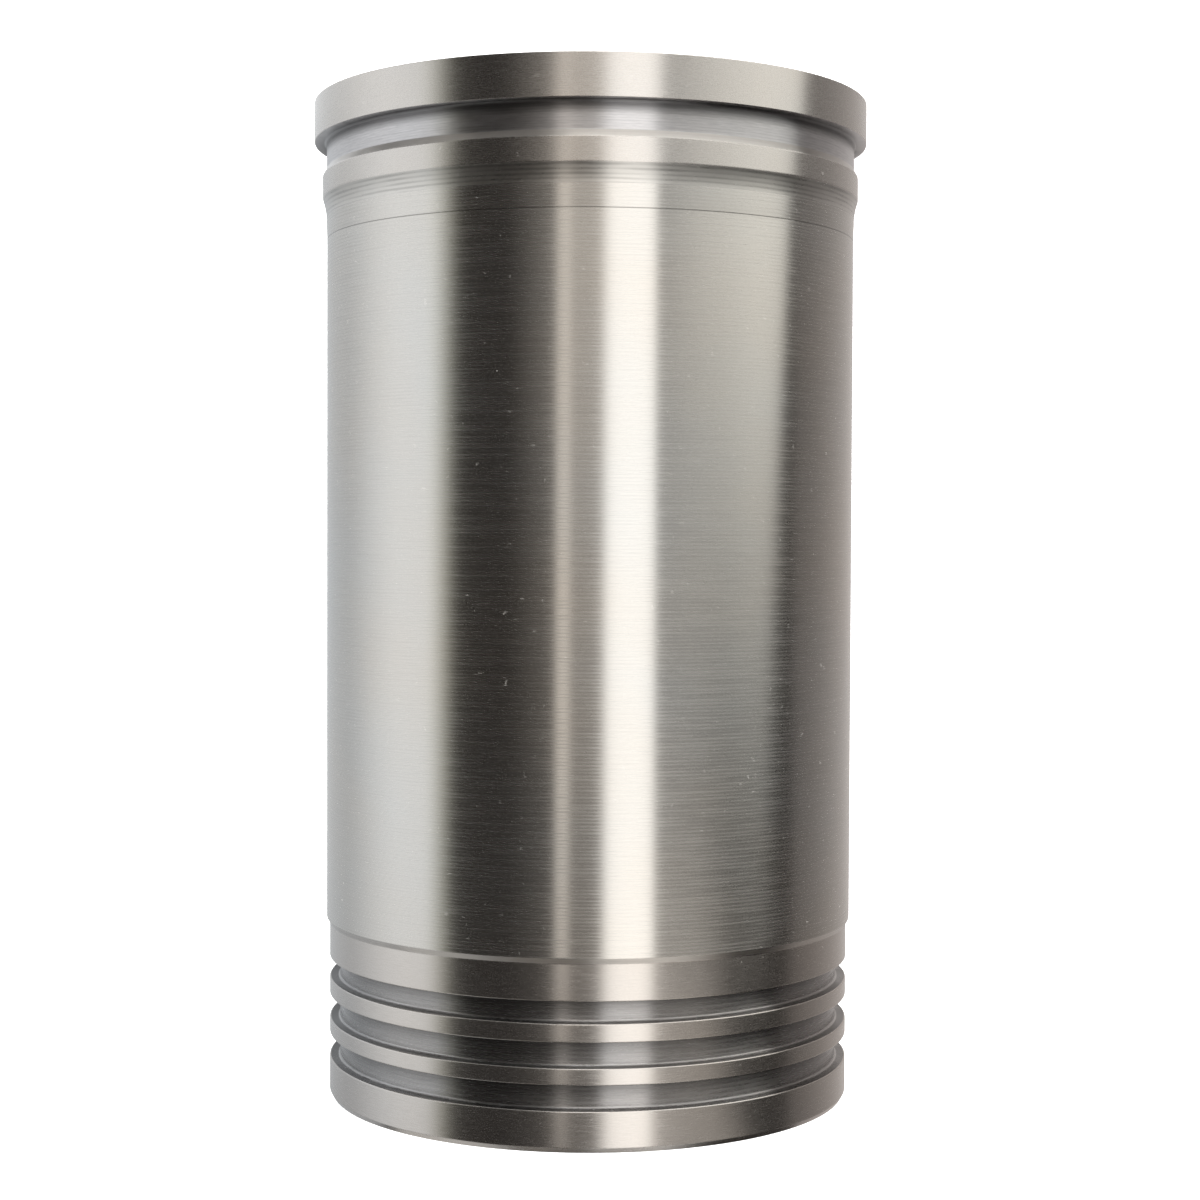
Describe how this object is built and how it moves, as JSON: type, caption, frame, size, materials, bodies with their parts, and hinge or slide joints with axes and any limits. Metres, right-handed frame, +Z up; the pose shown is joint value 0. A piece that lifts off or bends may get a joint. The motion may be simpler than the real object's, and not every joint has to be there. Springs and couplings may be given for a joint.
{
  "type": "cylinder liner",
  "caption": "Wet cylinder liner: flanged iron sleeve with a honed bore, a filler band recess under the flange and O-ring grooves at the foot.",
  "frame": {"origin": "centre of the bore at the liner's foot", "axes": "+Z up the bore from the foot to the flange"},
  "size_m": [0.146, 0.146, 0.2612],
  "materials": {
    "liner_iron": "fine turned jacket wall, ground lands and flange, honed bore, bare metal"
  },
  "bodies": {
    "root": {"cylinder_liner": "liner_iron"}
  },
  "joints": []
}
